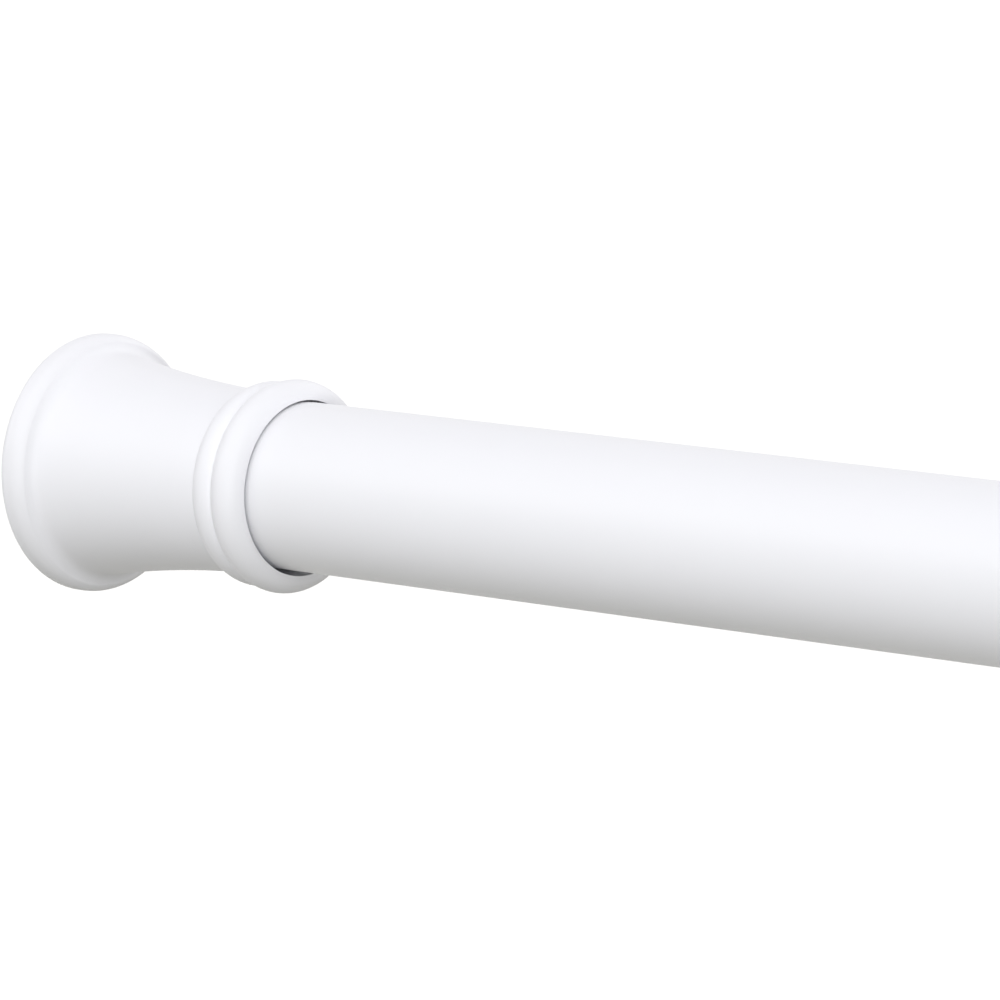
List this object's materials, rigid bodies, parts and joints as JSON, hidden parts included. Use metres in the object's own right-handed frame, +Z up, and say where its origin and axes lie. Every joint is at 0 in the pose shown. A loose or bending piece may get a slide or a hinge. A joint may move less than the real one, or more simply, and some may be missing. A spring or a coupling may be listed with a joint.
{
  "type": "spring tension rod",
  "caption": "Telescoping spring tension rod with a twist lock, rubber feet and flared decorative end covers that slide along the tubes.",
  "frame": {"origin": "middle of the wide tube's rubber foot, on the plane that meets the wall", "axes": "+X along the rod from the wide tube's foot to the narrow tube's foot, +Z up"},
  "size_m": [1.118, 0.0498, 0.0498],
  "materials": {
    "white_paint": "gloss powder coat",
    "white_gloss": "gloss",
    "white_plastic": "satin",
    "natural_plastic": "moulded",
    "grey_rubber": "matt",
    "black_rubber": "matt",
    "steel": "zinc plated"
  },
  "bodies": {
    "wide_section": {"wide_tube": "white_paint", "wide_foot": "grey_rubber", "wide_plug": "white_plastic", "mouth_sleeve": "white_plastic"},
    "wide_cover_body": {"wide_cover": "white_gloss"},
    "lock_carrier": {"lock_base": "natural_plastic", "jaw_band": "black_rubber"},
    "jaw_1_body": {"jaw_1": "natural_plastic"},
    "jaw_2_body": {"jaw_2": "natural_plastic"},
    "jaw_3_body": {"jaw_3": "natural_plastic"},
    "nut": {"wedge_nut": "natural_plastic"},
    "screw": {"lock_screw": "steel", "screw_clip": "steel", "plunger": "natural_plastic", "plunger_clip": "steel"},
    "narrow_section": {"narrow_tube": "white_paint", "narrow_foot": "grey_rubber", "narrow_plug": "white_plastic", "guide_plug": "natural_plastic", "spring_stop": "natural_plastic", "tension_spring": "steel"},
    "narrow_cover_body": {"narrow_cover": "white_gloss"}
  },
  "joints": [
    {"name": "extend", "type": "slide", "parent": "wide_section", "child": "lock_carrier", "axis": [1, 0, 0], "range_m": [0, 0.711]},
    {"name": "lock_twist", "type": "hinge", "parent": "lock_carrier", "child": "screw", "pos_m": [0.09, 0, 0], "axis": [1, 0, 0], "range_deg": [-360, 0]},
    {"name": "spring_travel", "type": "slide", "parent": "screw", "child": "narrow_section", "axis": [1, 0, 0], "range_m": [-0.038, 0], "stiffness_N_per_m": 1500, "springref_m": 0.02, "deforming": ["tension_spring"]},
    {"name": "nut_pull", "type": "slide", "parent": "lock_carrier", "child": "nut", "axis": [1, 0, 0], "range_m": [0, 0.003]},
    {"name": "jaw_1_spread", "type": "slide", "parent": "lock_carrier", "child": "jaw_1_body", "axis": [0, 0, 1], "range_m": [0, 0.0002625]},
    {"name": "jaw_2_spread", "type": "slide", "parent": "lock_carrier", "child": "jaw_2_body", "axis": [0, -0.866, -0.5], "range_m": [0, 0.0002625]},
    {"name": "jaw_3_spread", "type": "slide", "parent": "lock_carrier", "child": "jaw_3_body", "axis": [0, 0.866, -0.5], "range_m": [0, 0.0002625]},
    {"name": "wide_cover_slide", "type": "slide", "parent": "wide_section", "child": "wide_cover_body", "axis": [1, 0, 0], "range_m": [0, 0.9]},
    {"name": "narrow_cover_slide", "type": "slide", "parent": "narrow_section", "child": "narrow_cover_body", "axis": [1, 0, 0], "range_m": [-0.05, 0]}
  ],
  "couplings": [
    {"joint": "nut_pull", "follows": "lock_twist", "m_per_rad": -0.00047746},
    {"joint": "jaw_1_spread", "follows": "lock_twist", "m_per_rad": -0.000041773},
    {"joint": "jaw_2_spread", "follows": "lock_twist", "m_per_rad": -0.000041773},
    {"joint": "jaw_3_spread", "follows": "lock_twist", "m_per_rad": -0.000041773}
  ]
}
